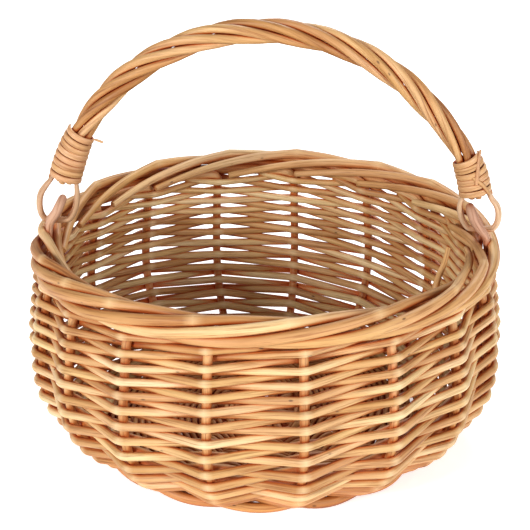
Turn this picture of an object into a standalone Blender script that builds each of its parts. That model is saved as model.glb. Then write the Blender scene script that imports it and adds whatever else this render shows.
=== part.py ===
"""Round willow egg basket with a swing handle, built rod by rod, in metres.

Origin: the middle of the base's underside. +Z is up and the handle turns about
an axis along X. Angles round the basket are measured from the front (-Y)
towards +X, which is the way the basket was woven.
"""

import math

import bpy

MM = 0.001

# How many, and how far apart
STAKES = 18
PITCH_ANGLE = 2 * math.pi / STAKES
FIRST_STAKE = math.radians(11.2)      # the stake just right of the front
SPREAD_SIDES = math.radians(3.4)      # stakes stand closer at the two sides
SPREAD_BACK = math.radians(2.5)       # and a little further round at the back

# Stakes: centre line of the wall as (radius, height), from the base's edge up
WALL = [
    (98.0, 6.5), (101.0, 6.9), (106.5, 9.0), (113.0, 13.0), (125.0, 21.5),
    (134.0, 31.0), (141.5, 44.0), (144.6, 58.0), (145.2, 72.0), (142.8, 93.0),
    (140.0, 112.0), (137.0, 120.0), (135.5, 122.0),
]
FOOT_RADIUS = 64.0                    # each stake is pushed this far into the base
STAKE_THICK = 5.6
TAIL_THICK = 5.4
TIP_THICK = 4.2

# Border: each stake's tail as (stakes passed, outward, upward) from the wall's top
TAIL = [
    (0.05, 0.1, 0.9), (0.16, 0.8, 1.9), (0.5, 3.0, 2.1), (1.0, 6.4, 2.6),
    (1.5, 8.5, 4.6), (2.0, 8.8, 8.3), (2.5, 7.4, 11.5), (2.9, 5.4, 13.6),
    (3.4, -0.8, 13.6), (4.0, -5.2, 10.4), (4.6, -7.3, 5.8), (4.95, -7.7, 3.4),
]
RIM_RADIUS = 135.5
RIM_HEIGHT = 122.0

# The border stands higher at the front than at the two sides, where the handle pulls on it
LIFT_ALL = 1.8
LIFT_FRONT = 2.1
LIFT_ENDS = 2.3
LIFT_FROM = 20.0                      # nothing below this height is moved
LIFT_TO = 120.0

# Siding: one weaver to each stake, in front of one and behind the next
LEVELS = 26
FIRST_LEVEL = 15.4                    # along the wall's centre line, from the base's edge
LAST_LEVEL = 137.6
ROW_TAPER = 0.13                      # rows are wider apart at the foot, where the rods are thick
INNER_FACE = 5.2                      # rows are packed evenly along the wall's inner face
WEAVER_BUTT = 2.1                     # half thickness where a weaver starts
WEAVER_TIP = 1.8
FRONT_OFFSET = 5.4
BACK_OFFSET = -5.15

# Three-rod wale round the foot: (radius, height) at a stake and half-way to the next
WALE = [
    (103.9, 14.3), (108.9, 10.7),     # behind a stake, then rising through
    (111.9, 5.8), (110.5, 2.6),       # upper one of two in front, then dropping
    (107.0, 3.0), (104.1, 8.0),       # lower one in front, then going back through
]
WALE_HALF = 2.4

# Base
BASE_RADIUS = 100.0
BASE_INNER = 33.0
BASE_THICK = 13.0
BASE_MID = 6.5
STICK_THICK = 5.6
ARM_SHIFT = 6.1                       # an arm lies this far beside its stake
CROSS_PITCH = 6.0
ARM_SPREAD = 31.0                     # where the arms have opened out
SLIT_HALF = 1.55

# Handle
HINGE_Z = 143.0
ARCH_HALF = 128.5
ARCH_RISE = 125.5
RIGHT_BULGE = 4.5                     # the right end stands further out
BULGE_FROM = math.radians(42.0)       # from this angle above the right end
BULGE_FULL = math.radians(18.0)       # to this one
ARCH_START = {-1: math.radians(12.0), 1: math.radians(10.0)}
RODS = 5
ROD_MID = 2.8
ROD_END = 2.0
TWIST_TURNS = -2.6
ROD_SEGMENTS = 30

# Cane binding at each end of the handle; the right one is shorter
BIND_START = {-1: math.radians(12.5), 1: math.radians(10.5)}
BIND_END = {-1: math.radians(27.7), 1: math.radians(21.9)}
BIND_TURNS = {-1: 8, 1: 6}
STRIP_WIDE = 3.9
STRIP_THICK = 0.9

# Rings and eyes
EYE_X = 132.0
RING = [                              # (outward from the eye, above the hinge, half thickness)
    (-13.9, 17.5, 1.8), (-12.6, 9.0, 2.0), (-9.6, 2.4, 2.0),
    (-6.0, 0.0, 2.0), (5.2, 0.0, 2.0), (8.3, 1.7, 2.0), (10.0, 6.2, 2.0),
    (10.2, 12.4, 2.0), (8.4, 18.2, 2.0), (5.0, 22.2, 1.7),
]
RING_SHIFT = {-1: 0.0, 1: 3.2}        # the right ring hangs further out in its eye
RING_SQUASH = {-1: 1.0, 1: 0.88}      # and is lower
LEG_LOW = {-1: math.radians(10.8), 1: math.radians(9.6)}
LEG_HIGH = {-1: math.radians(20.0), 1: math.radians(17.0)}
LEG_LOW_OFF = 7.3                     # from the handle's centre line
LEG_HIGH_OFF = 7.6
LEG_LOW_HALF = 1.25
LEG_HIGH_HALF = 0.85
EYE_REACH = 6.6
EYE_FOOT_X = 134.4                    # an eye leans inwards from here
EYE_TOP_X = 127.6                     # to here
EYE_TOP = 14.0
EYE_HALF = 2.6
PRONG_HALF = 1.5
PRONG_DEPTH = 16.0

STRAW = (0.87, 0.66, 0.42, 1.0)
HONEY = (0.82, 0.58, 0.34, 1.0)
TAN = (0.76, 0.52, 0.30, 1.0)
CANE = (0.90, 0.72, 0.48, 1.0)
PINK = (0.72, 0.53, 0.44, 1.0)


def clear_scene():
    for obj in list(bpy.data.objects):
        bpy.data.objects.remove(obj)


def make_collection(name):
    group = bpy.data.collections.new(name)
    bpy.context.scene.collection.children.link(group)
    return group


def make_material(name, color, rough=0.6):
    mat = bpy.data.materials.new(name)
    mat.use_nodes = True
    shader = mat.node_tree.nodes["Principled BSDF"]
    shader.inputs["Base Color"].default_value = color
    shader.inputs["Roughness"].default_value = rough
    return mat


# Small vector helpers, all on plain tuples


def add(a, b, k=1.0):
    return tuple(x + k * y for x, y in zip(a, b))


def unit(a):
    size = math.sqrt(sum(x * x for x in a))
    return tuple(x / size for x in a)


def cross(a, b):
    return (
        a[1] * b[2] - a[2] * b[1],
        a[2] * b[0] - a[0] * b[2],
        a[0] * b[1] - a[1] * b[0],
    )


def stake_angle(index):
    """Angle of a stake, or of a place part-way between two. Stakes are never quite evenly set."""
    even = FIRST_STAKE - math.radians(3.2) + PITCH_ANGLE * index
    uneven = SPREAD_SIDES * math.sin(2 * even) + SPREAD_BACK * (1 - math.cos(even))
    return even + uneven + math.radians(3.2)


def around(angle, radius, height):
    return (radius * math.sin(angle), -radius * math.cos(angle), height)


def outward(angle):
    return (math.sin(angle), -math.cos(angle), 0.0)


def onward(angle):
    return (math.cos(angle), math.sin(angle), 0.0)


def spline(knots, steps):
    """A smooth path through knots of any length, as points (Catmull-Rom)."""
    points = []
    for i in range(len(knots) - 1):
        p0 = knots[max(i - 1, 0)]
        p1 = knots[i]
        p2 = knots[i + 1]
        p3 = knots[min(i + 2, len(knots) - 1)]
        for k in range(steps):
            t = k / steps
            points.append(tuple(
                0.5 * (2 * b + (c - a) * t + (2 * a - 5 * b + 4 * c - d) * t * t
                       + (3 * b - a - 3 * c + d) * t ** 3)
                for a, b, c, d in zip(p0, p1, p2, p3)
            ))
    points.append(tuple(knots[-1]))
    return points


def measure_wall():
    """The wall's centre line as (arc length, radius, height, arc length of the inner face) samples."""
    line = spline(WALL, 12)
    samples = [(0.0, line[0][0], line[0][1], 0.0)]
    run = 0.0
    inner_run = 0.0
    last_inner = None
    for (r0, z0), (r, z) in zip(line, line[1:]):
        length = math.hypot(r - r0, z - z0)
        run += length
        inner = (r - INNER_FACE * (z - z0) / length, z + INNER_FACE * (r - r0) / length)
        if last_inner:
            inner_run += math.hypot(inner[0] - last_inner[0], inner[1] - last_inner[1])
        last_inner = inner
        samples.append((run, r, z, inner_run))
    return samples


WALL_RUN = measure_wall()


def wall_at(run, column=0):
    """(arc length, radius, height, inner arc length, outward normal) where one column of the samples reaches a value."""
    for a, b in zip(WALL_RUN, WALL_RUN[1:]):
        if run <= b[column] or b is WALL_RUN[-1]:
            t = (run - a[column]) / (b[column] - a[column])
            here = tuple(x + t * (y - x) for x, y in zip(a, b))
            length = math.hypot(b[1] - a[1], b[2] - a[2])
            return here + (((b[2] - a[2]) / length, -(b[1] - a[1]) / length),)


def level_place(level):
    """(radius, height, outward normal) of a weaving level."""
    first = wall_at(FIRST_LEVEL)[3]
    last = wall_at(LAST_LEVEL)[3]
    share = level / LEVELS
    share += ROW_TAPER * share * (1 - share)
    _, radius, height, _, normal = wall_at(first + (last - first) * share, 3)
    return radius, height, normal


def lifted(sections):
    """The sections moved up, little by little towards the border, as the border rises and falls."""
    moved = []
    for section in sections:
        points = []
        for x, y, z in section:
            angle = math.atan2(x, -y)
            lift = LIFT_ALL + LIFT_FRONT * math.cos(angle) + LIFT_ENDS * math.cos(2 * angle)
            share = min(1.0, max(0.0, (z - LIFT_FROM) / (LIFT_TO - LIFT_FROM)))
            points.append((x, y, z + lift * share))
        moved.append(points)
    return moved


def mesh_object(name, group, mat, sections, closed=False):
    """One closed tube through sections, each a list of points in mm."""
    count = len(sections[0])
    points = []
    for section in sections:
        points.extend(tuple(v * MM for v in p) for p in section)
    faces = []
    spans = len(sections) if closed else len(sections) - 1
    for i in range(spans):
        here = i * count
        there = (i + 1) % len(sections) * count
        for k in range(count):
            n = (k + 1) % count
            faces.append((here + k, there + k, there + n, here + n))
    if not closed:
        last = (len(sections) - 1) * count
        faces.append(tuple(range(count)))
        faces.append(tuple(last + k for k in reversed(range(count))))
    mesh = bpy.data.meshes.new(name)
    mesh.from_pydata(points, [], faces)
    mesh.update()
    obj = bpy.data.objects.new(name, mesh)
    group.objects.link(obj)
    mesh.materials.append(mat)
    face_out(obj)
    for face in mesh.polygons:
        face.use_smooth = len(face.vertices) == 4
    return obj


def face_out(obj):
    """Turns every face of a closed mesh outwards, by the sign of the volume they enclose."""
    mesh = obj.data
    volume = 0.0
    for face in mesh.polygons:
        a = mesh.vertices[face.vertices[0]].co
        for i in range(1, len(face.vertices) - 1):
            b = mesh.vertices[face.vertices[i]].co
            c = mesh.vertices[face.vertices[i + 1]].co
            volume += a.dot(b.cross(c))
    if volume < 0:
        mesh.flip_normals()


def polygon(centre, u, v, half_u, half_v, sides=6, turn=0.0):
    """A section: corners round a centre, on two directions."""
    corners = []
    for k in range(sides):
        a = turn + 2 * math.pi * k / sides
        corners.append(add(add(centre, u, half_u * math.cos(a)), v, half_v * math.sin(a)))
    return corners


def sweep(points, halves, side_hint, sides=6, turn=0.0):
    """Sections square to a path. side_hint is roughly the direction of each section's first axis."""
    sections = []
    for i, p in enumerate(points):
        before = points[max(i - 1, 0)]
        after = points[min(i + 1, len(points) - 1)]
        ahead = unit(add(after, before, -1.0))
        hint = side_hint[i] if isinstance(side_hint, list) else side_hint
        v = unit(cross(ahead, hint))
        u = cross(v, ahead)
        half_u, half_v = halves[i] if isinstance(halves[i], tuple) else (halves[i], halves[i])
        sections.append(polygon(p, u, v, half_u, half_v, sides, turn))
    return sections


# The basket


def make_stake(index, group, mat):
    """A stake: its foot in the base, up the wall, then down along the border."""
    angle = stake_angle(index)
    out = outward(angle)
    points = [around(angle, FOOT_RADIUS, BASE_MID)]
    for r, z in [WALL[i] for i in (1, 2, 3, 4, 5, 6, 7, 8, 9, 10)]:
        points.append(around(angle, r, z))
    halves = [STAKE_THICK / 2] * len(points)
    halves[0] = STAKE_THICK / 4
    hints = [out] * len(points)
    points.append(around(angle, WALL[-2][0], WALL[-2][1]))
    halves.append(STAKE_THICK / 2 - 0.1)
    hints.append(out)
    for n, (passed, off, up) in enumerate(TAIL):
        a = stake_angle(index + passed)
        points.append(around(a, RIM_RADIUS + off, RIM_HEIGHT + up))
        share = n / (len(TAIL) - 1)
        halves.append((TAIL_THICK + (TIP_THICK - TAIL_THICK) * share) / 2)
        hints.append(outward(a))
    sections = sweep(points, halves, hints, turn=math.pi / 6)
    return mesh_object(f"stake_{index + 1:02d}", group, mat, lifted(sections))


def make_weaver(index, group, mat):
    """A weaver that starts behind one stake and rises one level at every stake."""
    sections = []
    for level in range(LEVELS + 1):
        angle = stake_angle(index + level)
        r, z, normal = level_place(level)
        offset = FRONT_OFFSET if level % 2 else BACK_OFFSET
        n = add(tuple(normal[0] * x for x in outward(angle)), (0, 0, 1), normal[1])
        along = cross(n, onward(angle))
        centre = add(around(angle, r, z), n, offset)
        half = WEAVER_BUTT + (WEAVER_TIP - WEAVER_BUTT) * level / LEVELS
        if level in (0, LEVELS):
            half *= 0.55
        sections.append(polygon(centre, along, n, half, half))
    return mesh_object(f"weaver_{index + 1:02d}", group, mat, lifted(sections))


def make_wale_rod(index, group, mat):
    """One of three rods round the foot, each in front of two stakes and behind one."""
    sections = []
    for half_step in range(2 * STAKES):
        angle = stake_angle(half_step / 2)
        r, z = WALE[(half_step - 2 * index) % len(WALE)]
        sections.append(polygon(
            around(angle, r, z), outward(angle), (0, 0, 1), WALE_HALF, WALE_HALF, turn=math.pi / 6
        ))
    return mesh_object(f"foot_wale_{index + 1}", group, mat, sections, closed=True)


def arm_direction(index):
    """The direction of the base's arm beside a stake."""
    return stake_angle(index) - ARM_SHIFT / 90.0


def arm_points(index, bend):
    """From the cross, at a bend, to the end of one arm."""
    angle = arm_direction(index)
    spread = around(angle, ARM_SPREAD, BASE_MID)
    end = around(angle, BASE_RADIUS - 1.5, BASE_MID)
    return [bend, spread, end]


def make_stick(name, near, far, bends, flat, group, mat):
    """A base stick: two arms and the part through the cross."""
    first = arm_points(near, bends[0])
    second = arm_points(far, bends[1])
    points = list(reversed(first)) + second
    half = STICK_THICK / 2
    halves = [(half, half)] * len(points)
    if flat:
        halves[2] = (half, SLIT_HALF - 0.3)
        halves[3] = (half, SLIT_HALF - 0.3)
    hints = []
    for i, p in enumerate(points):
        before = points[max(i - 1, 0)]
        after = points[min(i + 1, len(points) - 1)]
        hints.append(unit(cross(unit(add(after, before, -1.0)), (0, 0, 1))))
    return mesh_object(name, group, mat, sweep(points, halves, hints, turn=math.pi / 6))


def box_cutter(name, group, centre, ahead, length, wide, high):
    """A box along a level direction, as a hidden cutter."""
    side = cross((0, 0, 1), ahead)
    corners = []
    for end in (-0.5, 0.5):
        base = add(centre, ahead, end * length)
        for u, v in ((-0.5, -0.5), (0.5, -0.5), (0.5, 0.5), (-0.5, 0.5)):
            corners.append(add(add(base, side, u * wide), (0, 0, 1), v * high))
    mesh = bpy.data.meshes.new(name)
    mesh.from_pydata(
        [tuple(v * MM for v in p) for p in corners],
        [],
        [(0, 3, 2, 1), (4, 5, 6, 7), (0, 1, 5, 4), (1, 2, 6, 5), (2, 3, 7, 6), (3, 0, 4, 7)],
    )
    obj = bpy.data.objects.new(name, mesh)
    group.objects.link(obj)
    face_out(obj)
    obj.hide_render = True
    obj.display_type = "WIRE"
    return obj


def cut(obj, cutter):
    hole = obj.modifiers.new(cutter.name, "BOOLEAN")
    hole.operation = "DIFFERENCE"
    hole.solver = "EXACT"
    hole.object = cutter


def make_sticks(group, cutters, mat):
    """Nine base sticks: five slit ones, and four shaved flat and pushed through the slits."""
    bend = 19.0
    quarter = stake_index_near(math.radians(90))
    sticks = []
    for n in range(5):
        across = (n - 2) * CROSS_PITCH
        right = (bend, across, BASE_MID)
        left = (-bend, across, BASE_MID)
        near = quarter + (n - 2)
        far = quarter + STAKES // 2 - (n - 2)
        stick = make_stick(f"base_stick_{n + 1}", near, far, (right, left), False, group, mat)
        slit = box_cutter(
            f"slit_{n + 1}", cutters, (0, across, BASE_MID), (1, 0, 0),
            4 * CROSS_PITCH + 1.4, 12.0, 2 * SLIT_HALF,
        )
        cut(stick, slit)
        sticks.append(stick)
    for n in range(4):
        across = (n - 1.5) * CROSS_PITCH
        front = (across, -bend, BASE_MID)
        back = (across, bend, BASE_MID)
        near = quarter - 6 + n
        far = quarter + 6 - n
        sticks.append(make_stick(
            f"base_stick_{n + 6}", near, far, (front, back), True, group, mat
        ))
    return sticks


def stake_index_near(angle):
    return min(range(STAKES), key=lambda i: abs(stake_angle(i) - angle))


def make_base_weave(group, cutters, mat):
    """The woven disc of the base, with a way through it for every arm and stake foot."""
    profile = [
        (BASE_INNER, 0.0), (BASE_RADIUS - 2.0, 0.0), (BASE_RADIUS, 2.0),
        (BASE_RADIUS, BASE_THICK - 2.0), (BASE_RADIUS - 2.0, BASE_THICK), (BASE_INNER, BASE_THICK),
    ]
    sections = []
    steps = 2 * STAKES
    for k in range(steps):
        angle = 2 * math.pi * k / steps
        sections.append([around(angle, r, z) for r, z in profile])
    disc = mesh_object("base_weave", group, mat, sections, closed=True)
    for index in range(STAKES):
        arm = arm_direction(index)
        way = box_cutter(
            f"arm_way_{index + 1}", cutters, around(arm, 66.0, BASE_MID), outward(arm),
            80.0, STICK_THICK + 0.7, STICK_THICK + 0.6,
        )
        cut(disc, way)
        foot = stake_angle(index)
        start = FOOT_RADIUS - 1.0
        hole = box_cutter(
            f"foot_way_{index + 1}", cutters,
            around(foot, (start + BASE_RADIUS + 6.0) / 2, BASE_MID), outward(foot),
            BASE_RADIUS + 6.0 - start, STAKE_THICK + 0.7, STAKE_THICK + 0.7,
        )
        cut(disc, hole)
    return disc


def make_eye(side, group, mat):
    """The loop on the border that holds a ring: an upright hoop with two pointed legs."""
    legs = {1: (0.2, 2.6), -1: (2.6, 0.2)}[side]
    points = []
    halves = []
    below = HINGE_Z - PRONG_DEPTH
    points.append((side * (RIM_RADIUS + legs[0]), EYE_REACH, below))
    halves.append(PRONG_HALF * 0.6)
    points.append((side * (RIM_RADIUS + legs[0]), EYE_REACH, HINGE_Z - 4.0))
    halves.append(PRONG_HALF)
    points.append((side * EYE_FOOT_X, EYE_REACH + 0.2, HINGE_Z + 2.0))
    halves.append(EYE_HALF * 0.85)
    middle = HINGE_Z + EYE_TOP - EYE_REACH
    for k in range(7):
        a = math.pi * k / 6
        up = middle + EYE_REACH * math.sin(a)
        lean = (up - HINGE_Z) / EYE_TOP
        x = side * (EYE_FOOT_X + (EYE_TOP_X - EYE_FOOT_X) * lean)
        points.append((x, EYE_REACH * math.cos(a), up))
        halves.append(EYE_HALF)
    points.append((side * EYE_FOOT_X, -EYE_REACH - 0.2, HINGE_Z + 2.0))
    halves.append(EYE_HALF * 0.85)
    points.append((side * (RIM_RADIUS + legs[1]), -EYE_REACH, HINGE_Z - 4.0))
    halves.append(PRONG_HALF)
    points.append((side * (RIM_RADIUS + legs[1]), -EYE_REACH, below))
    halves.append(PRONG_HALF * 0.6)
    name = "eye_right" if side > 0 else "eye_left"
    return mesh_object(name, group, mat, sweep(points, halves, (1.0, 0.0, 0.0)))


# The handle


def arch(angle):
    """(centre, direction in the arch's plane that points away from its middle) at an angle from the left end."""
    share = (BULGE_FROM - (math.pi - angle)) / (BULGE_FROM - BULGE_FULL)
    share = min(1.0, max(0.0, share))
    bulge = RIGHT_BULGE * share * share * (3 - 2 * share)
    centre = (bulge - ARCH_HALF * math.cos(angle), 0.0, HINGE_Z + ARCH_RISE * math.sin(angle))
    out = unit((-math.cos(angle) / ARCH_HALF, 0.0, math.sin(angle) / ARCH_RISE))
    return centre, out


def arch_end(side, angle):
    """The same at an angle from the left end or the right one."""
    return arch(angle if side < 0 else math.pi - angle)


def rod_half(angle):
    """Half thickness of a handle rod: full over the middle, thinner towards each end."""
    from_end = min(angle - ARCH_START[-1], math.pi - angle - ARCH_START[1])
    share = min(1.0, max(0.0, from_end / math.radians(28)))
    return ROD_END + (ROD_MID - ROD_END) * share


def make_handle_rod(index, group, mat):
    """One of the rods twisted together round the arch's centre line."""
    points = []
    halves = []
    hints = []
    for k in range(ROD_SEGMENTS + 1):
        share = k / ROD_SEGMENTS
        angle = ARCH_START[-1] + (math.pi - ARCH_START[-1] - ARCH_START[1]) * share
        centre, out = arch(angle)
        turn = 2 * math.pi * (index / RODS + TWIST_TURNS * share)
        half = rod_half(angle)
        away = add(tuple(math.cos(turn) * v for v in out), (0, 1, 0), math.sin(turn))
        points.append(add(centre, away, 1.86 * half))
        halves.append(half)
        hints.append(away)
    return mesh_object(f"handle_rod_{index + 1}", group, mat, sweep(points, halves, hints))


def make_binding(side, group, mat):
    """The flat cane wound round one end of the handle."""
    sections = []
    steps = BIND_TURNS[side] * 8
    for k in range(steps + 1):
        share = k / steps
        centre, out = arch_end(side, BIND_START[side] + (BIND_END[side] - BIND_START[side]) * share)
        ahead = cross((0, 1, 0), out)
        turn = 2 * math.pi * BIND_TURNS[side] * share
        deep = 9.2 - 1.4 * share ** 3
        wide = 6.9 + 0.9 * share
        away = add(tuple(deep * math.cos(turn) * v for v in out), (0, 1, 0), wide * math.sin(turn))
        inner = add(centre, away)
        thick = unit(away)
        sections.append([
            add(inner, ahead, -STRIP_WIDE / 2),
            add(inner, ahead, STRIP_WIDE / 2),
            add(add(inner, ahead, STRIP_WIDE / 2), thick, STRIP_THICK),
            add(add(inner, ahead, -STRIP_WIDE / 2), thick, STRIP_THICK),
        ])
    name = "binding_right" if side > 0 else "binding_left"
    return mesh_object(name, group, mat, sections)


def make_ring(side, group, mat):
    """A cane ring: its bar lies in the eye and both ends go up under the binding."""
    high, away_high = arch_end(side, LEG_HIGH[side])
    low, away_low = arch_end(side, LEG_LOW[side])
    points = [add(high, away_high, -LEG_HIGH_OFF), add(low, away_low, -LEG_LOW_OFF)]
    halves = [LEG_HIGH_HALF, LEG_LOW_HALF]
    for out, up, half in RING:
        x = side * (EYE_X + out + RING_SHIFT[side])
        points.append((x, 0.0, HINGE_Z + up * RING_SQUASH[side]))
        halves.append(half)
    points += [add(low, away_low, LEG_LOW_OFF), add(high, away_high, LEG_HIGH_OFF)]
    halves += [LEG_LOW_HALF, LEG_HIGH_HALF]
    name = "ring_right" if side > 0 else "ring_left"
    return mesh_object(name, group, mat, sweep(points, halves, (0.0, 1.0, 0.0)))


def put_on_hinge(objects, group):
    """Parents the handle's pieces to one empty on the hinge axis."""
    hinge = bpy.data.objects.new("handle_hinge", None)
    hinge.location = (0.0, 0.0, HINGE_Z * MM)
    group.objects.link(hinge)
    bpy.context.view_layer.update()
    for obj in objects:
        obj.parent = hinge
        obj.matrix_parent_inverse = hinge.matrix_world.inverted()


def main():
    clear_scene()
    parts = make_collection("egg_basket")
    cutters = make_collection("cutters")
    stake_mat = make_material("stakes", HONEY)
    weaver_mat = make_material("weavers", STRAW)
    base_mat = make_material("base", TAN)
    cane_mat = make_material("cane", CANE, 0.45)
    eye_mat = make_material("skein", PINK)
    for index in range(STAKES):
        make_stake(index, parts, stake_mat)
    for index in range(STAKES):
        make_weaver(index, parts, weaver_mat)
    for index in range(3):
        make_wale_rod(index, parts, weaver_mat)
    make_sticks(parts, cutters, base_mat)
    make_base_weave(parts, cutters, base_mat)
    moving = []
    for side in (-1, 1):
        make_eye(side, parts, eye_mat)
        moving.append(make_ring(side, parts, cane_mat))
        moving.append(make_binding(side, parts, cane_mat))
    for index in range(RODS):
        moving.append(make_handle_rod(index, parts, stake_mat))
    put_on_hinge(moving, parts)


main()
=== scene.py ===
"""Looks of the willow egg basket: every rod of the frame replaced by a finer one, in metres.

Paths are worked out in millimetres and scaled when a mesh is made. Angles round the basket
are measured from the front (-Y) towards +X, the way the basket was woven.
"""

import math

import bpy
import numpy as np
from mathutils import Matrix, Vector


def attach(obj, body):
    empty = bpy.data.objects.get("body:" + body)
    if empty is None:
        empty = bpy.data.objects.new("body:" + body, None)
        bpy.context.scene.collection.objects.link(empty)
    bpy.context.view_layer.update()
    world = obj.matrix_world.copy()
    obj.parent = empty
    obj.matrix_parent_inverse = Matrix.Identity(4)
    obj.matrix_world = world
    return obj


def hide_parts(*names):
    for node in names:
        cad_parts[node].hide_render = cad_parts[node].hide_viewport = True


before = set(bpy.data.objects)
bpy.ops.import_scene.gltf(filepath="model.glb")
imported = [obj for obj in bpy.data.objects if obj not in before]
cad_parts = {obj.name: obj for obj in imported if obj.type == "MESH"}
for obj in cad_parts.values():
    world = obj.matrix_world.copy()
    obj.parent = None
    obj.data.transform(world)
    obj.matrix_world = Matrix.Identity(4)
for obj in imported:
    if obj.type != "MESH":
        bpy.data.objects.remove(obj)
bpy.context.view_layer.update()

MM = 0.001
SEED = 7

# The same layout as the frame's
STAKES = 18
PITCH = 2 * math.pi / STAKES
FIRST_STAKE = math.radians(11.2)
SPREAD_MIDDLE = math.radians(3.2)
SPREAD_SIDES = math.radians(3.4)
SPREAD_BACK = math.radians(2.5)
WALL = [
    (98.0, 6.5), (101.0, 6.9), (106.5, 9.0), (113.0, 13.0), (125.0, 21.5),
    (134.0, 31.0), (141.5, 44.0), (144.6, 58.0), (145.2, 72.0), (142.8, 93.0),
    (140.0, 112.0), (137.0, 120.0), (135.5, 122.0),
]
INNER_FACE = 5.2
LEVELS = 26
FIRST_LEVEL = 15.4
LAST_LEVEL = 137.6
ROW_TAPER = 0.13
LIFT_ALL = 1.8
LIFT_FRONT = 2.1
LIFT_ENDS = 2.3
LIFT_FROM = 20.0
LIFT_TO = 120.0
FRONT_OFFSET = 5.6
BACK_OFFSET = -5.2
FOOT_RADIUS = 64.0
BASE_MID = 6.5
RIM_RADIUS = 135.5
RIM_HEIGHT = 122.0
WALE = [
    (103.9, 14.4), (108.9, 10.8),
    (112.0, 7.1), (110.9, 4.0),
    (107.0, 4.1), (104.1, 8.6),
]
HINGE_Z = 143.0
ARCH_HALF = 128.5
ARCH_RISE = 125.5
RIGHT_BULGE = 4.5
BULGE_FROM = math.radians(42.0)
BULGE_FULL = math.radians(18.0)
ARCH_START = {-1: math.radians(12.0), 1: math.radians(10.0)}
RODS = 5
ROD_MID = 2.8
ROD_END = 2.0
ROD_TAPER = math.radians(28.0)
ROD_APART = 1.82
TWIST_TURNS = -2.6
BIND_START = {-1: math.radians(12.5), 1: math.radians(10.5)}
BIND_END = {-1: math.radians(27.7), 1: math.radians(21.9)}
BIND_TURNS = {-1: 8, 1: 6}
BIND_DEEP = 9.1
BIND_SLIMMER = 1.4
BIND_WIDE = 6.8
BIND_WIDER = 0.9
STRIP_WIDE = 3.95
STRIP_THICK = 1.35
STEPS_A_TURN = 28
EYE_X = 132.0
EYE_REACH = 6.6
EYE_TOP = 14.0
EYE_FOOT_X = 134.4
EYE_TOP_X = 127.6
EYE_LEGS_OUT = {1: (0.2, 2.6), -1: (2.6, 0.2)}
EYE_LEG_DEPTH = 16.0
ARM_SHIFT = 6.1
CROSS_PITCH = 6.0
ARM_SPREAD = 31.0
ARM_BEND = 19.0
ARM_END = 98.5
SLIT_HALF = 1.55
SLIT_LENGTH = 25.4
PAIR_ROUNDS = 16
PAIR_START = 31.0
PAIR_PITCH = 4.35
PAIR_SIDEWAYS = 1.15
PAIR_RISE = 4.75
CROSS_START = 17.6
CROSS_TURNS = 3
CROSS_ROW = 3.3
CROSS_RISE = 4.3
UP = (0.0, 0.0, 1.0)

# Half thicknesses: a stake at its foot, up the wall, along the border and at its tip, a weaver and a
# rod of the wale from butt to tip, and the plain rods of the base
STAKE_FOOT = 1.9
STAKE_WALL = (2.75, 2.9)
STAKE_BORDER = (3.45, 3.3, 2.9)
STAKE_TIP = 2.2
WEAVER_HALF = (1.8, 2.8, 2.25)
WALE_HALF = (2.2, 3.35, 3.2, 1.8)
STICK_HALF = 2.75
LIP_HALF = 2.7
LIP_FLAT = 0.36
PAIR_HALF = 1.62
CROSS_HALF = 1.55

# The border strand: (stakes passed, outward, upward) up to its elbow, and from there to its tip
TAIL_OUTSIDE = [
    (0.05, 0.1, 0.9), (0.16, 0.8, 1.9), (0.5, 3.0, 2.1), (1.0, 6.4, 2.6),
    (1.5, 8.5, 4.6), (2.0, 8.8, 8.3), (2.5, 7.4, 11.6), (2.9, 5.5, 13.9),
]
TAIL_INSIDE = [
    (2.9, 5.5, 13.9), (3.4, -1.0, 13.2), (4.0, -5.3, 10.0), (4.6, -7.4, 5.6), (4.95, -7.8, 3.2),
]
START_BEND = 0.12
ELBOW = 2.9

RING = [
    (-13.9, 17.5, 1.8), (-12.6, 9.0, 2.0), (-9.6, 2.4, 2.0),
    (-6.0, 0.0, 2.0), (5.2, 0.0, 2.0), (8.3, 1.7, 2.0), (10.0, 6.2, 2.0),
    (10.2, 12.4, 2.0), (8.8, 18.0, 2.0), (5.6, 23.0, 1.8),
]
RING_SHIFT = {-1: 0.0, 1: 3.2}
RING_SQUASH = {-1: 1.0, 1: 0.88}
LEG_LOW = {-1: math.radians(13.4), 1: math.radians(12.0)}
LEG_HIGH = {-1: math.radians(20.0), 1: math.radians(17.0)}
LEG_LOW_OFF = 7.3
LEG_HIGH_OFF = 7.6
LEG_LOW_HALF = 1.25
LEG_HIGH_HALF = 0.85

# Loose ends of the bindings: name, side, width, and knots of (degrees along the handle from its end,
# degrees round it, distance from its centre line)
CANE_ENDS = [
    ("cane_end_left", -1, 2.0, [(26.0, 205, 8.4), (28.4, 205, 9.6), (29.0, 195, 14.6)]),
    ("cane_end_right_1", 1, 2.6, [(15.0, -80, 8.9), (18.5, -60, 9.2), (21.6, -30, 9.4), (22.8, -12, 10.6)]),
    ("cane_end_right_2", 1, 2.4, [(11.0, -35, 10.2), (14.0, -55, 9.8), (17.0, -85, 8.7)]),
]

# The loose rod end inside the border: (degrees round the basket, radius, height). It stays inside
# the way of the handle, which swings down to the border.
LOOSE_END = [
    (65.0, 116.5, 112.0), (65.2, 116.5, 123.0), (67.9, 116.5, 130.0),
    (72.0, 117.0, 135.0), (74.5, 117.8, 143.0),
]

# The camera: height it looks at and distance in metres, focal length for a 36 mm sensor
CAMERA_AIM = 0.1146
CAMERA_AWAY = 1.1
CAMERA_RISE = math.radians(24.36)
CAMERA_TURN = math.radians(3.2)
CAMERA_LENS = 117.6


# Geometry helpers, on numpy arrays of millimetres


def stake_angle(index):
    """Where a stake stands. They are further apart at the front and back than at the two sides."""
    even = FIRST_STAKE - SPREAD_MIDDLE + PITCH * index
    return even + SPREAD_SIDES * math.sin(2 * even) + SPREAD_BACK * (1 - math.cos(even)) + SPREAD_MIDDLE


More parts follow.
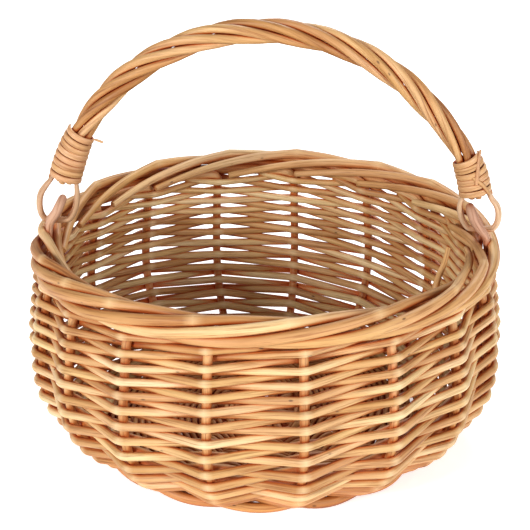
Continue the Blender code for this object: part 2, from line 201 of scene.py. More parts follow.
def around(angle, radius, height):
    return np.array([radius * math.sin(angle), -radius * math.cos(angle), height])


def outward(angle):
    return np.array([math.sin(angle), -math.cos(angle), 0.0])


def unit(v):
    return v / np.maximum(np.linalg.norm(v, axis=-1, keepdims=True), 1e-9)


def spline(knots, steps):
    """A smooth path through knots of any width (Catmull-Rom)."""
    k = np.asarray(knots, float)
    k = np.vstack([2 * k[0] - k[1], k, 2 * k[-1] - k[-2]])
    points = []
    for p0, p1, p2, p3 in zip(k, k[1:], k[2:], k[3:]):
        for t in np.arange(steps) / steps:
            points.append(0.5 * (
                2 * p1 + (p2 - p0) * t + (2 * p0 - 5 * p1 + 4 * p2 - p3) * t * t
                + (3 * p1 - p0 - 3 * p2 + p3) * t ** 3
            ))
    points.append(k[-2])
    return np.array(points)


def creased(knots, reach, legs=3, turns=5):
    """A path of straight legs with a short bend at every inner knot.

    Returns its points and a crease weight from 0 to 1, which is 1 in the middle of a bend.
    """
    k = np.asarray(knots, float)
    points = [k[0]]
    crease = [0.0]
    last = k[0]
    for before, here, after in zip(k, k[1:], k[2:]):
        back = before - here
        ahead = after - here
        a = here + back * min(0.45, reach / np.linalg.norm(back))
        b = here + ahead * min(0.45, reach / np.linalg.norm(ahead))
        for t in np.arange(1, legs + 1) / (legs + 1):
            points.append(last + (a - last) * t)
            crease.append(0.0)
        for t in np.arange(turns) / (turns - 1):
            points.append((1 - t) ** 2 * a + 2 * t * (1 - t) * here + t * t * b)
            crease.append(1 - abs(2 * t - 1))
        last = b
    for t in np.arange(1, legs + 2) / (legs + 1):
        points.append(last + (k[-1] - last) * t)
        crease.append(0.0)
    return np.array(points), np.array(crease)


def lengths(path):
    return np.concatenate([[0.0], np.cumsum(np.linalg.norm(np.diff(path, axis=0), axis=1))])


def wander(run, size, wave, rng):
    """Smooth seeded wandering along a rod: size in the values' own unit, wave in mm."""
    value = np.zeros(len(run))
    for k in range(1, 4):
        value += np.sin(2 * math.pi * run * k / wave + rng.uniform(0, 6.28)) * rng.uniform(0.5, 1.0) / k
    return size * value / 1.3


def measure_wall():
    line = spline(WALL, 12)
    step = np.diff(line, axis=0)
    size = np.linalg.norm(step, axis=1)
    direction = step / size[:, None]
    run = np.concatenate([[0.0], np.cumsum(size)])
    inner = line[1:] + INNER_FACE * np.stack([-direction[:, 1], direction[:, 0]], axis=1)
    inner_run = np.concatenate([[0.0, 0.0], np.cumsum(np.linalg.norm(np.diff(inner, axis=0), axis=1))])
    normal = np.vstack([direction[:1], direction])
    return line, run, inner_run, np.stack([normal[:, 1], -normal[:, 0]], axis=1)


WALL_LINE, WALL_RUN, WALL_INNER, WALL_NORMAL = measure_wall()


def level_place(level):
    """(radius, height, outward part and upward part of the normal) of a weaving level."""
    first = np.interp(FIRST_LEVEL, WALL_RUN, WALL_INNER)
    last = np.interp(LAST_LEVEL, WALL_RUN, WALL_INNER)
    share = level / LEVELS
    share += ROW_TAPER * share * (1 - share)
    at = first + (last - first) * share
    values = np.column_stack([WALL_LINE, WALL_NORMAL])[1:]
    return [np.interp(at, WALL_INNER[1:], column) for column in values.T]


def lifted(path):
    """The path moved up, little by little towards the border, as the border rises and falls."""
    angle = np.arctan2(path[:, 0], -path[:, 1])
    lift = LIFT_ALL + LIFT_FRONT * np.cos(angle) + LIFT_ENDS * np.cos(2 * angle)
    share = np.clip((path[:, 2] - LIFT_FROM) / (LIFT_TO - LIFT_FROM), 0, 1)
    return path + np.outer(lift * share, [0, 0, 1])


def arch(angle):
    """(centre, direction away from the arch's middle) at an angle from the handle's left end."""
    share = (BULGE_FROM - (math.pi - angle)) / (BULGE_FROM - BULGE_FULL)
    share = min(1.0, max(0.0, share))
    bulge = RIGHT_BULGE * share * share * (3 - 2 * share)
    centre = np.array([bulge - ARCH_HALF * math.cos(angle), 0.0, HINGE_Z + ARCH_RISE * math.sin(angle)])
    out = unit(np.array([-math.cos(angle) / ARCH_HALF, 0.0, math.sin(angle) / ARCH_RISE]))
    return centre, out


def arch_end(side, angle):
    """The same at an angle from the left end or the right one."""
    return arch(angle if side < 0 else math.pi - angle)


# Meshes


def frames_along(path, hints):
    """Two directions across the path at every point; the first stays close to the hint."""
    ahead = np.gradient(path, axis=0)
    ahead = unit(ahead)
    hints = np.broadcast_to(np.asarray(hints, float), path.shape)
    second = unit(np.cross(ahead, hints))
    first = np.cross(second, ahead)
    return first, second


def build_mesh(name, points, faces, smooth, attributes):
    mesh = bpy.data.meshes.new(name)
    mesh.from_pydata([tuple(p) for p in points * MM], [], faces)
    mesh.polygons.foreach_set("use_smooth", smooth)
    for key, values in attributes.items():
        kind = "FLOAT_VECTOR" if values.ndim == 2 else "FLOAT"
        layer = mesh.attributes.new(key, kind, "POINT")
        layer.data.foreach_set("vector" if values.ndim == 2 else "value", values.astype(np.float32).ravel())
    mesh.update()
    obj = bpy.data.objects.new(name, mesh)
    bpy.context.scene.collection.objects.link(obj)
    return obj


def rod(name, path, half, hints, mat, number, crease=None, sides=12, flat=1.0, tip=0.8):
    """A closed rod along a path. half is its half thickness and flat how much less it is towards the
    hint, each one number or one for each point.

    The attribute "rod" is the place on the rod as if it were straight, "tone" differs from rod to
    rod, and "crease" is 1 where the rod is sharply bent.
    """
    rng = np.random.default_rng(SEED * 1000 + number)
    run = lengths(path)
    half = np.broadcast_to(np.asarray(half, float), (len(path),)) * (1 + wander(run, 0.025, 160, rng))
    crease = np.zeros(len(path)) if crease is None else crease
    first, second = frames_along(path, hints)
    shape = np.ones((2, len(path)))
    shape[0] *= flat
    shape[0] -= 0.10 * crease
    shape[1] += 0.10 * crease
    # A short shrunken ring at each end rounds the edge of the cut.
    ahead = unit(np.gradient(path, axis=0))
    path = np.vstack([path[0] - ahead[0] * 0.35, path, path[-1] + ahead[-1] * 0.35])
    half = np.concatenate([[half[0] * tip], half, [half[-1] * tip]])
    first = np.vstack([first[:1], first, first[-1:]])
    second = np.vstack([second[:1], second, second[-1:]])
    shape = np.hstack([shape[:, :1], shape, shape[:, -1:]])
    crease = np.concatenate([[0.0], crease, [0.0]])
    run = np.concatenate([[run[0] - 0.35], run, [run[-1] + 0.35]])

    turn = 2 * math.pi * np.arange(sides) / sides
    u = half[:, None] * shape[0][:, None] * np.cos(turn)
    v = half[:, None] * shape[1][:, None] * np.sin(turn)
    points = (path[:, None] + u[..., None] * first[:, None] + v[..., None] * second[:, None]).reshape(-1, 3)
    rings = len(path)
    i = np.arange(rings - 1)[:, None] * sides
    k = np.arange(sides)[None, :]
    n = (k + 1) % sides
    quads = np.stack([i + k, i + n, i + sides + n, i + sides + k], axis=-1).reshape(-1, 4)
    faces = quads.tolist()
    faces.append(list(range(sides))[::-1])
    faces.append([(rings - 1) * sides + k for k in range(sides)])
    smooth = [True] * len(quads) + [False, False]

    place = np.stack([
        np.repeat(run + 977.0 * number, sides), u.ravel() + 31.0 * number, v.ravel() + 17.0 * number,
    ], axis=1) * MM
    tone = np.full(rings * sides, rng.uniform())
    obj = build_mesh(name, points, faces, smooth, {
        "rod": place, "tone": tone, "crease": np.repeat(crease, sides),
    })
    obj.data.materials.append(mat)
    return obj


def sideways(path, size, wave, hints, rng):
    """The path moved a little to and fro across itself, as a real rod lies."""
    first, second = frames_along(path, hints)
    run = lengths(path)
    return (path + first * wander(run, size, wave, rng)[:, None]
            + second * wander(run, size, wave, rng)[:, None])


# Materials


def linear(r, g, b):
    """A display colour, 0 to 255, as the shader wants it."""
    return tuple(((c / 255 + 0.055) / 1.055) ** 2.4 if c > 10 else c / 3294.6 for c in (r, g, b)) + (1.0,)


class Nodes:
    """A short way to add and join shader nodes."""

    def __init__(self, name):
        self.mat = bpy.data.materials.new(name)
        self.mat.use_nodes = True
        self.tree = self.mat.node_tree
        self.shader = self.tree.nodes["Principled BSDF"]

    def add(self, kind, **settings):
        node = self.tree.nodes.new(kind)
        for key, value in settings.items():
            setattr(node, key, value)
        return node

    def join(self, source, target):
        self.tree.links.new(source, target)

    def attribute(self, name):
        return self.add("ShaderNodeAttribute", attribute_name=name)

    def stretched(self, scale):
        """The place on the rod, scaled differently along and across it."""
        mapping = self.add("ShaderNodeMapping")
        mapping.inputs["Scale"].default_value = scale
        self.join(self.attribute("rod").outputs["Vector"], mapping.inputs["Vector"])
        return mapping.outputs["Vector"]

    def noise(self, scale, detail=4.0, rough=0.55):
        node = self.add("ShaderNodeTexNoise")
        node.inputs["Scale"].default_value = 1.0
        node.inputs["Detail"].default_value = detail
        node.inputs["Roughness"].default_value = rough
        self.join(self.stretched(scale), node.inputs["Vector"])
        return node.outputs["Fac"]

    def ramp(self, value, stops):
        node = self.add("ShaderNodeValToRGB")
        ramp = node.color_ramp
        while len(ramp.elements) < len(stops):
            ramp.elements.new(0.5)
        for element, (place, color) in zip(ramp.elements, stops):
            element.position = place
            element.color = color
        self.join(value, node.inputs["Fac"])
        return node.outputs["Color"]

    def mix(self, factor, a, b, blend="MIX"):
        node = self.add("ShaderNodeMix", data_type="RGBA", blend_type=blend)
        for socket, value in ((node.inputs[0], factor), (node.inputs[6], a), (node.inputs[7], b)):
            if hasattr(value, "is_output"):
                self.join(value, socket)
            else:
                socket.default_value = value
        return node.outputs[2]

    def math(self, operation, a, b, clamp=False):
        node = self.add("ShaderNodeMath", operation=operation, use_clamp=clamp)
        for socket, value in ((node.inputs[0], a), (node.inputs[1], b)):
            if hasattr(value, "is_output"):
                self.join(value, socket)
            else:
                socket.default_value = value
        return node.outputs[0]


# Pale, middle and deep tone of each kind of rod
STAKE_TONES = linear(212, 180, 134), linear(192, 149, 99), linear(164, 112, 63)
WEAVER_TONES = linear(216, 192, 150), linear(198, 161, 112), linear(170, 122, 73)
# The base's willow, made darker and redder than the wall's as painted shade for the floor of the basket
BASE_TONES_WITH_PAINTED_SHADE = linear(190, 138, 88), linear(168, 112, 64), linear(146, 90, 48)
HANDLE_TONES = linear(204, 168, 124), linear(178, 132, 84), linear(148, 97, 53)
RIND_TONES = linear(208, 170, 130), linear(194, 152, 110), linear(172, 126, 84)
CORE_TONES = linear(206, 178, 152), linear(194, 162, 134), linear(176, 142, 112)
SKEIN_TONES = linear(200, 162, 140), linear(184, 144, 122), linear(164, 122, 102)

# What multiplies a tone: painted shade between touching rods, near the floor and inside the basket, and so
# on
# Painted shade where rods touch
CREVICE_PAINTED_SHADE = (0.84, 0.27, 0.03, 1.0)
# A milder painted shade for the foot's rods, which sit on the floor
NEAR_FLOOR_PAINTED_SHADE = (0.62, 0.42, 0.27, 1.0)
# Painted shade inside the basket, where the walls hide much of the sky
SHELTERED_PAINTED_SHADE = (1.0, 0.66, 0.42, 1.0)
SPECK = (0.075, 0.030, 0.012, 1.0)
FIBRE = (0.50, 0.37, 0.27, 1.0)
PINKER = (1.0, 0.94, 0.95, 1.0)
YELLOWER = (1.0, 1.0, 0.90, 1.0)


def grey(value):
    return (value, value, value, 1.0)


def painted_shade(n, color, distance, low, high, deep):
    """Painted shade: the colour darkened where less than a share of the sky is open within a distance."""
    node = n.add("ShaderNodeAmbientOcclusion", samples=8)
    node.inputs["Distance"].default_value = distance
    return n.mix(1.0, color, n.ramp(node.outputs["AO"], [(low, deep), (high, grey(1.0))]), "MULTIPLY")


def specks(n, color):
    """A few small dark knots and buds, one in every third cell of a stretched cell pattern."""
    cells = n.add("ShaderNodeTexVoronoi")
    cells.inputs["Scale"].default_value = 1.0
    n.join(n.stretched((75.0, 170.0, 170.0)), cells.inputs["Vector"])
    spot = n.ramp(cells.outputs["Distance"], [(0.06, grey(1.0)), (0.13, grey(0.0))])
    chosen = n.math("GREATER_THAN", cells.outputs["Color"], 0.66)
    return n.mix(n.math("MULTIPLY", spot, n.math("MULTIPLY", chosen, 0.8)), color, SPECK)


def willow(name, pale, mid, deep, rough, bump=1.0, knotty=True, crevice_shade=CREVICE_PAINTED_SHADE):
    """Peeled willow: long grain, deeper patches, pinker and yellower stretches, and small dark knots.

    It is paler and wrinkled at a crease, and has painted shade where rods touch and inside the basket.
    """
    n = Nodes(name)
    grain = n.noise((30.0, 850.0, 850.0), 6.0, 0.62)
    patches = n.noise((14.0, 90.0, 90.0), 3.0)
    tone = n.attribute("tone").outputs["Fac"]
    crease = n.attribute("crease").outputs["Fac"]
    shade = n.math("ADD", n.math("MULTIPLY", patches, 0.95), n.math("MULTIPLY", tone, 0.42))
    color = n.ramp(shade, [(0.36, pale), (0.62, mid), (0.98, deep)])
    streaks = n.ramp(grain, [(0.34, FIBRE), (0.50, grey(0.93)), (0.66, grey(1.0))])
    color = n.mix(0.9, color, streaks, "MULTIPLY")
    hues = n.ramp(n.noise((7.0, 40.0, 40.0), 2.0), [(0.38, PINKER), (0.62, YELLOWER)])
    color = n.mix(1.0, color, hues, "MULTIPLY")
    if knotty:
        color = specks(n, color)
    color = n.mix(n.math("MULTIPLY", crease, 0.45, True), color, pale)
    # Painted shade: darker and redder where rods touch
    color = painted_shade(n, color, 0.009, 0.15, 0.66, crevice_shade)
    # Painted shade inside the basket and deep between the rows
    color = painted_shade(n, color, 0.05, 0.25, 0.75, SHELTERED_PAINTED_SHADE)
    n.join(color, n.shader.inputs["Base Color"])
    dull = n.math("ADD", n.math("MULTIPLY", patches, 0.25), rough - 0.12, True)
    n.join(dull, n.shader.inputs["Roughness"])
    n.shader.inputs["Specular IOR Level"].default_value = 0.28

    wrinkles = n.noise((900.0, 260.0, 260.0), 2.0)
    height = n.math("ADD", n.math("MULTIPLY", grain, 0.7), n.math("MULTIPLY", patches, 1.2))
    height = n.math("ADD", height, n.math("MULTIPLY", n.math("MULTIPLY", wrinkles, crease), 1.8))
    relief = n.add("ShaderNodeBump")
    relief.inputs["Strength"].default_value = 0.6 * bump
    relief.inputs["Distance"].default_value = 0.0004
    n.join(height, relief.inputs["Height"])
    n.join(relief.outputs["Normal"], n.shader.inputs["Normal"])
    return n.mat


def plain_white():
    n = Nodes("floor_white")
    n.shader.inputs["Base Color"].default_value = (0.9, 0.9, 0.9, 1.0)
    n.shader.inputs["Emission Color"].default_value = (1.0, 1.0, 1.0, 1.0)
    n.shader.inputs["Emission Strength"].default_value = 0.55
    n.shader.inputs["Roughness"].default_value = 0.9
    n.shader.inputs["Specular IOR Level"].default_value = 0.0
    return n.mat


# The basket's pieces


def finish_piece(obj, body, slot, *nodes):
    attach(obj, body)
    if nodes:
        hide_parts(*nodes)
    return obj


def make_stake(index, mat):
    rng = np.random.default_rng(SEED + 100 + index)
    angle = stake_angle(index)
    wall = [around(angle, FOOT_RADIUS, BASE_MID)]
    wall += [around(angle, r, z) for r, z in WALL[1:10]]
    wall = spline(wall, 5)
    wall_hints = np.tile(outward(angle), (len(wall), 1))
    lift = rng.uniform(-0.3, 0.3)
    slide = rng.uniform(-0.1, 0.1)
    outside = spline(TAIL_OUTSIDE, 7)
    inside = spline(TAIL_INSIDE, 8)
    tail = []
    hints = []
    crease = []
    for passed, off, up in np.vstack([outside[:-1], inside]):
        share = min(1.0, passed / 2.0)
        a = stake_angle(index + passed + slide * share)
        tail.append(around(a, RIM_RADIUS + off, RIM_HEIGHT + up + lift * share))
        hints.append(outward(a))
        crease.append(max(0.0, 1 - abs(passed - ELBOW) / 0.10, 1 - abs(passed - START_BEND) / 0.15))
    top = around(angle, WALL[10][0], WALL[10][1])
    rise = spline([wall[-1], top, around(angle, 137.0, 119.5)], 3)[1:]
    path = lifted(np.vstack([wall, rise, tail]))
    all_hints = np.vstack([wall_hints, np.tile(outward(angle), (len(rise), 1)), hints])
    weight = np.concatenate([np.zeros(len(wall) + len(rise)), crease])
    run = lengths(path)
    full = run[len(wall) + len(rise)]
    places = [0, 12, full, full + 35, full + 130, run[-1] - 75, run[-1]]
    half = np.interp(run, places, [STAKE_FOOT, *STAKE_WALL, *STAKE_BORDER, STAKE_TIP])
    obj = rod(f"willow_stake_{index + 1:02d}", path, half, all_hints, mat, index, weight)
    return finish_piece(obj, "basket", "stakes", f"stake_{index + 1:02d}")


def make_weaver(index, mat):
    rng = np.random.default_rng(SEED + 200 + index)
    knots = []
    hints = []
    for level in range(LEVELS + 1):
        angle = stake_angle(index + level)
        r, z, out, up = level_place(level)
        normal = outward(angle) * out + np.array([0.0, 0.0, up])
        along = np.cross(normal, np.array([math.cos(angle), math.sin(angle), 0.0]))
        offset = FRONT_OFFSET if level % 2 else BACK_OFFSET
        knots.append(around(angle, r, z) + normal * offset + along * rng.uniform(-0.3, 0.3))
        hints.append(normal)
    r, z = level_place(LEVELS)[:2]
    knots.append(around(stake_angle(index + LEVELS + 0.45), r + 1.0, z + 1.2))
    hints.append(hints[-1])
    path, crease = creased(knots, 4.2)
    path = lifted(path)
    hints = spline(hints, 9)
    share = np.linspace(0, 1, len(path))
    from_share = np.linspace(0, 1, len(hints))
    hints = np.array([np.interp(share, from_share, column) for column in hints.T]).T
    run = lengths(path)
    half = np.interp(run, [0, 6, run[-1]], WEAVER_HALF)
    obj = rod(f"willow_weaver_{index + 1:02d}", path, half, hints, mat, 40 + index, crease, sides=10)
    return finish_piece(obj, "basket", "weavers", f"weaver_{index + 1:02d}")


def make_loose_end(mat):
    """A rod end that has come out of the border and stands inside it at the right."""
    path = spline([around(math.radians(a), r, z) for a, r, z in LOOSE_END], 6)
    hints = unit(path * [1, 1, 0])
    obj = rod("loose_rod_end", path, np.linspace(2.5, 1.5, len(path)), hints, mat, 175)
    return finish_piece(obj, "basket", "stakes")


def make_wale_rod(index, mat):
    knots = []
    for half_step in range(2 * STAKES + 2):
        angle = stake_angle(half_step / 2)
        r, z = WALE[(half_step - 2 * index) % len(WALE)]
        knots.append(around(angle, r, z))
    path = spline(knots, 5)
    hints = unit(path * [1, 1, 0])
    run = lengths(path)
    half = np.interp(run, [0, 10, run[-1] - 30, run[-1]], WALE_HALF)
    obj = rod(f"foot_rod_{index + 1}", path, half, hints, mat, 70 + index)
    return finish_piece(obj, "basket", "weavers", f"foot_wale_{index + 1}")


def arm_direction(index):
    return stake_angle(index) - ARM_SHIFT / 90.0


def joined(name, parts):
    """Several meshes as one object."""
    bpy.ops.object.select_all(action="DESELECT")
    for part in parts:
        part.select_set(True)
    bpy.context.view_layer.objects.active = parts[0]
    bpy.ops.object.join()
    parts[0].name = name
    return parts[0]


def arm(start, index):
    direction = arm_direction(index)
    return [start, around(direction, ARM_SPREAD, BASE_MID), around(direction, ARM_END, BASE_MID)]


def make_slit_stick(number, mat):
    """A base stick that is split in the middle, where the shaved ones pass through it."""
    across = (number - 2) * CROSS_PITCH
    quarter = min(range(STAKES), key=lambda i: abs(stake_angle(i) - math.pi / 2))
    half = SLIT_LENGTH / 2
    name = f"base_stick_{number + 1}"
    parts = []
    for side, index in ((1, quarter + number - 2), (-1, quarter + STAKES // 2 - (number - 2))):
        knots = arm(np.array([side * ARM_BEND, across, BASE_MID]), index)
        inner = np.array([side * (half - 1.0), across, BASE_MID])
        path = creased([inner] + knots, 3.0, legs=4)[0]
        parts.append(rod(f"{name}_arm", path, STICK_HALF, UP, mat, 110 + 2 * number + (side > 0)))
    for side in (1, -1):
        run = np.linspace(-half - 2.0, half + 2.0, 13)
        closing = 0.5 * np.clip(np.abs(run) - half + 2.5, 0, 4) / 2
        rise = BASE_MID + side * (SLIT_HALF + 0.95 - closing)
        path = np.stack([run, np.full(13, across), rise], axis=1)
        number_of_lip = 130 + 2 * number + (side > 0)
        parts.append(rod(f"{name}_lip", path, LIP_HALF, UP, mat, number_of_lip, flat=LIP_FLAT))
    return finish_piece(joined(f"willow_{name}", parts), "basket", "base", name)


def make_shaved_stick(number, mat):
    """A base stick shaved flat in the middle, which goes through the slit ones."""
    across = (number - 1.5) * CROSS_PITCH
    quarter = min(range(STAKES), key=lambda i: abs(stake_angle(i) - math.pi / 2))
    front = arm(np.array([across, -ARM_BEND, BASE_MID]), quarter - 6 + number)
    back = arm(np.array([across, ARM_BEND, BASE_MID]), quarter + 6 - number)
    path = creased(front[::-1] + back, 3.0, legs=6)[0]
    flat = np.interp(np.abs(path[:, 1]), [13.5, 17.5], [0.44, 1.0])
    name = f"base_stick_{number + 6}"
    obj = rod(f"willow_{name}", path, STICK_HALF, UP, mat, 150 + number, flat=flat)
    return finish_piece(obj, "basket", "base", name)


def make_base_pair(mat):
    """Two thin rods paired outwards round the arms, half a turn about each other from arm to arm."""
    arms = [arm_direction(i) for i in range(STAKES)]
    for which in (0, 1):
        points = []
        for step in np.arange(0, PAIR_ROUNDS * STAKES, 0.125):
            index = int(step)
            here = arms[index % STAKES] + 2 * math.pi * (index // STAKES)
            after = arms[(index + 1) % STAKES] + 2 * math.pi * ((index + 1) // STAKES)
            angle = here + (after - here) * (step - index)
            turn = math.pi * (step + which)
            radius = PAIR_START + PAIR_PITCH * step / STAKES + PAIR_SIDEWAYS * math.sin(turn)
            points.append(around(angle, radius, BASE_MID + PAIR_RISE * math.cos(turn)))
        path = np.array(points)
        hints = unit(path * [1, 1, 0])
        obj = rod(f"base_pairing_{which + 1}", path, PAIR_HALF, hints, mat, 160 + which, sides=8)
        finish_piece(obj, "basket", "base", "base_weave")


def make_cross_binding(mat):
    """The first rounds of the base, over one bundle of the cross and under the other.

    They follow the square of the cross at first and are nearly round at the end.
    """
    points = []
    whole = 2 * math.pi * CROSS_TURNS
    for turn in np.linspace(0.3, 0.3 + whole, 260):
        reach = CROSS_START + CROSS_ROW * turn / (2 * math.pi)
        power = 5.0 - 2.8 * turn / whole
        corner = (abs(math.cos(turn)) ** power + abs(math.sin(turn)) ** power) ** (-1 / power)
        height = BASE_MID + CROSS_RISE * math.tanh(2.4 * math.cos(2 * turn))
        points.append(around(turn + math.pi / 2, reach * corner * 0.98, height))
    path = np.array(points)
    obj = rod("base_cross_binding", path, CROSS_HALF, unit(path * [1, 1, 0]), mat, 165, sides=8)
    return finish_piece(obj, "basket", "base")


def make_handle_rod(index, mat):
    rng = np.random.default_rng(SEED + 300 + index)
    path = []
    hints = []
    half = []
    for share in np.linspace(0, 1, 121):
        angle = ARCH_START[-1] + (math.pi - ARCH_START[-1] - ARCH_START[1]) * share
        centre, out = arch(angle)
        turn = 2 * math.pi * (index / RODS + TWIST_TURNS * share)
        from_end = min(angle - ARCH_START[-1], math.pi - angle - ARCH_START[1])
        thick = ROD_END + (ROD_MID - ROD_END) * min(1.0, from_end / ROD_TAPER)
        away = out * math.cos(turn) + np.array([0.0, math.sin(turn), 0.0])
        path.append(centre + away * ROD_APART * thick)
        hints.append(away)
        half.append(thick)
    path = sideways(np.array(path), 0.18, 120, np.array(hints), rng)
    obj = rod(f"twisted_rod_{index + 1}", path, half, np.array(hints), mat, 80 + index)
    return finish_piece(obj, "handle", "handle", f"handle_rod_{index + 1}")


def strip_mesh(name, centres, ahead, away, wide, thick, mat, number):
    """A flat cane strip with a slightly domed outer face."""
    outline = [
        (-0.5, 0.0), (0.5, 0.0), (0.5, 0.45), (0.42, 0.78), (0.22, 0.96),
        (0.0, 1.0), (-0.22, 0.96), (-0.42, 0.78), (-0.5, 0.45),
    ]
    count = len(outline)
    points = []
    place = []
    run = lengths(centres)
    for c, f, o, s in zip(centres, ahead, away, run):
        for a, b in outline:
            points.append(c + f * a * wide + o * b * thick)
            place.append((s + 977.0 * number, a * wide + 31.0 * number, b * thick))
    faces = []
    for i in range(len(centres) - 1):
        for k in range(count):
            n = (k + 1) % count
            faces.append([i * count + k, i * count + n, (i + 1) * count + n, (i + 1) * count + k])
    smooth = [True] * len(faces) + [False, False]
    last = (len(centres) - 1) * count
    faces.append(list(range(count))[::-1])
    faces.append([last + k for k in range(count)])
    size = len(points)
    obj = build_mesh(name, np.array(points), faces, smooth, {
        "rod": np.array(place) * MM, "tone": np.full(size, 0.5), "crease": np.zeros(size),
    })
    obj.data.materials.append(mat)
    return obj


def make_binding(side, mat):
    rng = np.random.default_rng(SEED + 400 + side)
    steps = BIND_TURNS[side] * STEPS_A_TURN
    centres = []
    ahead_all = []
    away_all = []
    for k in range(steps + 1):
        share = k / steps
        centre, out = arch_end(side, BIND_START[side] + (BIND_END[side] - BIND_START[side]) * share)
        ahead = np.cross([0.0, 1.0, 0.0], out)
        turn = 2 * math.pi * BIND_TURNS[side] * share
        deep = BIND_DEEP - BIND_SLIMMER * share ** 3
        wide = BIND_WIDE + BIND_WIDER * share
        away = out * deep * math.cos(turn) + np.array([0.0, wide * math.sin(turn), 0.0])
        centres.append(centre + away)
        ahead_all.append(ahead)
        away_all.append(unit(away))
    centres = np.array(centres)
    ahead_all = np.array(ahead_all)
    away_all = np.array(away_all)
    centres += ahead_all * wander(lengths(centres), 0.42, 75, rng)[:, None]
    centres += away_all * wander(lengths(centres), 0.16, 55, rng)[:, None]
    name = "right" if side > 0 else "left"
    obj = strip_mesh(
        f"cane_binding_{name}", centres, ahead_all, away_all, STRIP_WIDE, STRIP_THICK, mat, 90 + side
    )
    return finish_piece(obj, "handle", "cane", f"binding_{name}")


def make_cane_end(name, side, knots, wide, mat, number):
    """A loose end of a binding, lying over its turns or standing off them."""
    path = []
    hints = []
    for degrees, turn, reach in knots:
        centre, out = arch_end(side, math.radians(degrees))
        away = out * math.cos(math.radians(turn)) + np.array([0.0, math.sin(math.radians(turn)), 0.0])
        path.append(centre + away * reach)
        hints.append(away)
    path = spline(path, 6)
    hints = unit(spline(hints, 6))
    obj = rod(name, path, wide / 2, hints, mat, number, sides=8, flat=0.42)
    return finish_piece(obj, "handle", "cane")


def make_ring(side, mat):
    high, away_high = arch_end(side, LEG_HIGH[side])
    low, away_low = arch_end(side, LEG_LOW[side])
    knots = [high - away_high * LEG_HIGH_OFF, low - away_low * LEG_LOW_OFF]
    half = [LEG_HIGH_HALF, LEG_LOW_HALF]
    for out, up, thick in RING:
        x = side * (EYE_X + out + RING_SHIFT[side])
        knots.append(np.array([x, 0.0, HINGE_Z + up * RING_SQUASH[side]]))
        half.append(thick)
    knots += [low + away_low * LEG_LOW_OFF, high + away_high * LEG_HIGH_OFF]
    half += [LEG_LOW_HALF, LEG_HIGH_HALF]
    both = spline(np.column_stack([np.array(knots), half]), 7)
    name = "right" if side > 0 else "left"
    obj = rod(f"cane_ring_{name}", both[:, :3], both[:, 3], (0.0, 1.0, 0.0), mat, 95 + side)
    return finish_piece(obj, "handle", "cane", f"ring_{name}")


def make_eye(side, mat):
    back_out, front_out = EYE_LEGS_OUT[side]
    low = HINGE_Z - EYE_LEG_DEPTH
    knots = [
        (side * (RIM_RADIUS + back_out), EYE_REACH, low, 0.9),
        (side * (RIM_RADIUS + back_out), EYE_REACH, HINGE_Z - 4.0, 1.6),
        (side * EYE_FOOT_X, EYE_REACH + 0.2, HINGE_Z + 2.0, 2.1),
    ]
    middle = HINGE_Z + EYE_TOP - EYE_REACH
    for k in range(7):
        a = math.pi * k / 6
        up = middle + EYE_REACH * math.sin(a)
        x = side * (EYE_FOOT_X + (EYE_TOP_X - EYE_FOOT_X) * (up - HINGE_Z) / EYE_TOP)
        knots.append((x, EYE_REACH * math.cos(a), up, 2.7 - 0.45 * math.cos(a)))
    knots += [
        (side * EYE_FOOT_X, -EYE_REACH - 0.2, HINGE_Z + 2.0, 3.0),
        (side * (RIM_RADIUS + front_out), -EYE_REACH, HINGE_Z - 4.0, 2.2),
        (side * (RIM_RADIUS + front_out), -EYE_REACH, low, 0.9),
    ]
    both = spline(knots, 6)
    name = "right" if side > 0 else "left"
    obj = rod(f"skein_eye_{name}", both[:, :3], both[:, 3], (1.0, 0.0, 0.0), mat, 98 + side)
    return finish_piece(obj, "basket", "skein", f"eye_{name}")


# Set


def make_camera():
    target = np.array([0.0, 0.0, CAMERA_AIM])
    rise = CAMERA_RISE
    turn = CAMERA_TURN
    away = np.array([math.sin(turn) * math.cos(rise), -math.cos(turn) * math.cos(rise), math.sin(rise)])
    data = bpy.data.cameras.new("photo_camera")
    data.sensor_width = 36.0
    data.lens = CAMERA_LENS
    camera = bpy.data.objects.new("photo_camera", data)
    bpy.context.scene.collection.objects.link(camera)
    camera.location = tuple(target + CAMERA_AWAY * away)
    camera.rotation_euler = Vector(tuple(-away)).to_track_quat("-Z", "Y").to_euler()
    bpy.context.scene.camera = camera


def make_light(name, place, aim, size, power):
    data = bpy.data.lights.new(name, "AREA")
    data.shape = "DISK"
    data.size = size
    data.energy = power
    lamp = bpy.data.objects.new(name, data)
    bpy.context.scene.collection.objects.link(lamp)
    lamp.location = place
    lamp.rotation_euler = (Vector(aim) - Vector(place)).to_track_quat("-Z", "Y").to_euler()


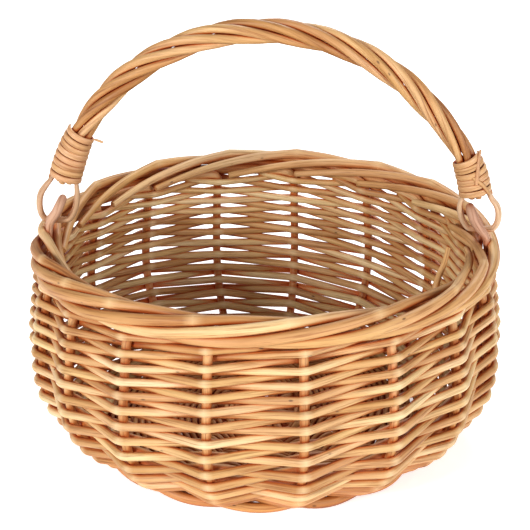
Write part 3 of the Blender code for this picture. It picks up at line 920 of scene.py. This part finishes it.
def make_stage():
    mesh = bpy.data.meshes.new("floor")
    mesh.from_pydata([(-3, -3, 0), (3, -3, 0), (3, 3, 0), (-3, 3, 0)], [], [(0, 1, 2, 3)])
    floor = bpy.data.objects.new("floor", mesh)
    bpy.context.scene.collection.objects.link(floor)
    floor.data.materials.append(plain_white())
    world = bpy.data.worlds.new("studio")
    world.use_nodes = True
    world.node_tree.nodes["Background"].inputs["Color"].default_value = (1.0, 0.99, 0.98, 1.0)
    world.node_tree.nodes["Background"].inputs["Strength"].default_value = 0.44
    bpy.context.scene.world = world
    make_light("key", (-0.95, -1.3, 0.74), (0, 0, 0.10), 0.4, 24.5)
    make_light("fill", (1.25, -1.15, 0.6), (0, 0, 0.10), 0.6, 19.0)
    make_light("back", (0.2, 1.1, 1.3), (0, 0, 0.15), 0.7, 17.0)
    bpy.context.scene.view_settings.view_transform = "Standard"


def main():
    make_camera()
    make_stage()
    stake_mat = willow("willow_stakes", *STAKE_TONES, 0.5)
    weaver_mat = willow("willow_weavers", *WEAVER_TONES, 0.5)
    # The foot's rods take a milder painted shade where they touch each other and the floor
    foot_mat = willow("willow_foot", *WEAVER_TONES, 0.5, crevice_shade=NEAR_FLOOR_PAINTED_SHADE)
    base_mat = willow("willow_base", *BASE_TONES_WITH_PAINTED_SHADE, 0.55)
    handle_mat = willow("willow_handle", *HANDLE_TONES, 0.45)
    cane_mat = willow("cane_rind", *RIND_TONES, 0.4, knotty=False)
    ring_mat = willow("cane_core", *CORE_TONES, 0.5, bump=0.6, knotty=False)
    eye_mat = willow("split_skein", *SKEIN_TONES, 0.6, bump=1.3, knotty=False)
    for index in range(STAKES):
        make_stake(index, stake_mat)
    for index in range(STAKES):
        make_weaver(index, weaver_mat)
    make_loose_end(stake_mat)
    for index in range(3):
        make_wale_rod(index, foot_mat)
    for index in range(RODS):
        make_handle_rod(index, handle_mat)
    for side in (-1, 1):
        make_binding(side, cane_mat)
        make_ring(side, ring_mat)
        make_eye(side, eye_mat)
    for number, (name, side, wide, knots) in enumerate(CANE_ENDS):
        make_cane_end(name, side, knots, wide, cane_mat, 170 + number)
    for number in range(5):
        make_slit_stick(number, base_mat)
    for number in range(4):
        make_shaved_stick(number, base_mat)
    make_base_pair(base_mat)
    make_cross_binding(base_mat)


main()
